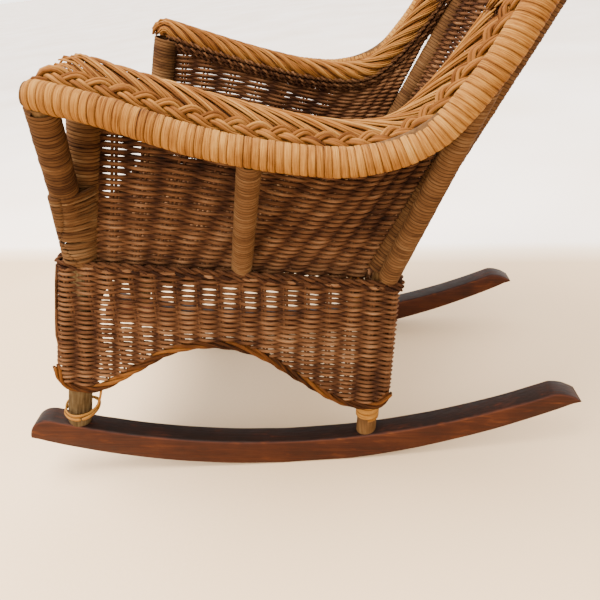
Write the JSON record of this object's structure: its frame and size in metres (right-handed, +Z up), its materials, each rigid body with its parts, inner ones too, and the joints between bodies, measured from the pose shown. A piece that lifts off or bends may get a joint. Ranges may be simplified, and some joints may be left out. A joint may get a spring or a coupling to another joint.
{
  "type": "miniature rocking chair",
  "caption": "Doll-sized wicker rocking chair: woven reed over a nailed cane frame, rolled arms flowing into an arched back, arched skirts, on curved wooden rockers.",
  "frame": {"origin": "on the floor under the middle of the chair's bounding box, with the chair at rest on the worn flats of its rockers", "axes": "+Z up, the chair faces -Y, +X is the sitter's left"},
  "size_m": [0.2624, 0.3754, 0.3843],
  "materials": {
    "rocker_wood": "satin",
    "bare_cane": "satin",
    "pale_cane": "satin",
    "brown_cane": "satin",
    "brown_reed": "matte",
    "tan_reed": "satin",
    "nail_steel": "matte"
  },
  "bodies": {
    "root": {"back_bow": "bare_cane", "back_plait": "tan_reed", "back_rim_binding": "pale_cane", "back_rim_pole": "bare_cane", "back_roll": "tan_reed", "back_underlay": "brown_reed", "back_weave": "brown_reed", "frame_nails": "nail_steel", "front_seat_rail": "bare_cane", "front_skirt": "brown_reed", "front_skirt_border": "tan_reed", "left_arm_plait": "tan_reed", "left_arm_rim_binding": "pale_cane", "left_arm_rim_pole": "bare_cane", "left_arm_roll": "tan_reed", "left_arm_underlay": "brown_reed", "left_back_post": "bare_cane", "left_back_post_binding": "brown_cane", "left_front_post": "bare_cane", "left_front_post_binding": "brown_cane", "left_middle_prop": "bare_cane", "left_outer_front_post": "bare_cane", "left_outer_post_binding": "brown_cane", "left_rear_leg_cuff": "pale_cane", "left_rear_prop": "bare_cane", "left_rocker": "rocker_wood", "left_side_seat_rail": "bare_cane", "left_side_skirt": "brown_reed", "left_side_skirt_border": "tan_reed", "left_side_weave": "brown_reed", "loose_cane_ring": "pale_cane", "prop_bindings": "brown_cane", "rear_seat_rail": "bare_cane", "rear_skirt": "brown_reed", "rear_skirt_border": "tan_reed", "right_arm_plait": "tan_reed", "right_arm_rim_binding": "pale_cane", "right_arm_rim_pole": "bare_cane", "right_arm_roll": "tan_reed", "right_arm_underlay": "brown_reed", "right_back_post": "bare_cane", "right_back_post_binding": "brown_cane", "right_front_post": "bare_cane", "right_front_post_binding": "brown_cane", "right_middle_prop": "bare_cane", "right_outer_front_post": "bare_cane", "right_outer_post_binding": "brown_cane", "right_rear_leg_cuff": "pale_cane", "right_rear_prop": "bare_cane", "right_rocker": "rocker_wood", "right_side_seat_rail": "bare_cane", "right_side_skirt": "brown_reed", "right_side_skirt_border": "tan_reed", "right_side_weave": "brown_reed", "rocker_nails": "nail_steel", "seat_edge_twists": "tan_reed", "seat_weave": "brown_reed"}
  },
  "joints": []
}
